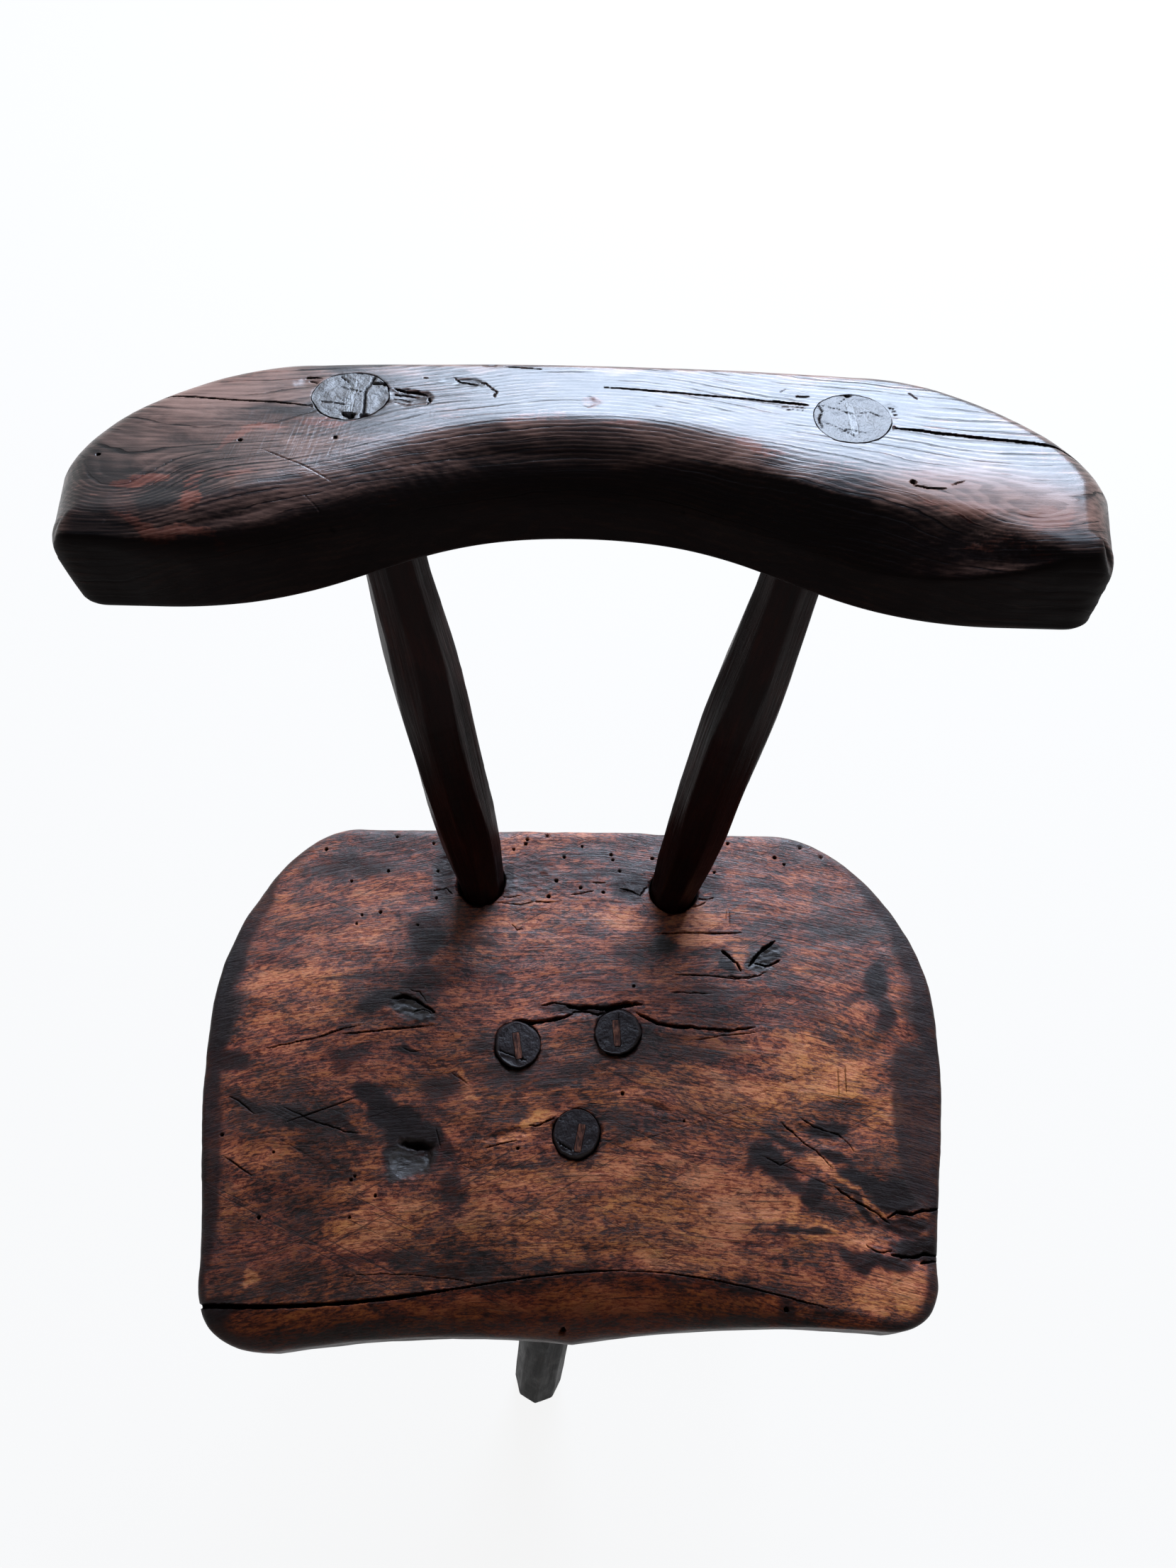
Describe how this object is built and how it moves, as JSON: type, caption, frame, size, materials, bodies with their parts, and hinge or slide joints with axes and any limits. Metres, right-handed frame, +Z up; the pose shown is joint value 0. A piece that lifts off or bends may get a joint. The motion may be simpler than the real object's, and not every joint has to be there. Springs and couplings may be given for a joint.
{
  "type": "three-legged chair",
  "caption": "Rustic hewn hardwood chair: thick D-shaped plank seat, splayed legs, raked back posts and a crescent backrest, joined by wedged through tenons.",
  "frame": {"origin": "on the floor, under the middle of the whole chair", "axes": "+Z up, +Y towards the backrest, +X to the right as seen from in front of the chair"},
  "size_m": [0.4632, 0.4397, 0.7771],
  "materials": {
    "seat_wood": "waxed, mottled brown-black patina",
    "backrest_wood": "waxed dark red-brown, handled to a sheen",
    "post_wood": "waxed dark red-brown, hewn facets",
    "leg_wood": "dry, worn grey-brown",
    "wedge_wood": "waxed, lighter orange-brown"
  },
  "bodies": {
    "root": {"seat": "seat_wood", "backrest": "backrest_wood", "back_post_left": "post_wood", "back_post_right": "post_wood", "leg_front": "leg_wood", "leg_back_left": "leg_wood", "leg_back_right": "leg_wood", "leg_front_wedge": "wedge_wood", "leg_back_left_wedge": "wedge_wood", "leg_back_right_wedge": "wedge_wood", "back_post_left_top_wedge": "wedge_wood", "back_post_right_top_wedge": "wedge_wood", "back_post_left_bottom_wedge": "wedge_wood", "back_post_right_bottom_wedge": "wedge_wood"}
  },
  "joints": []
}
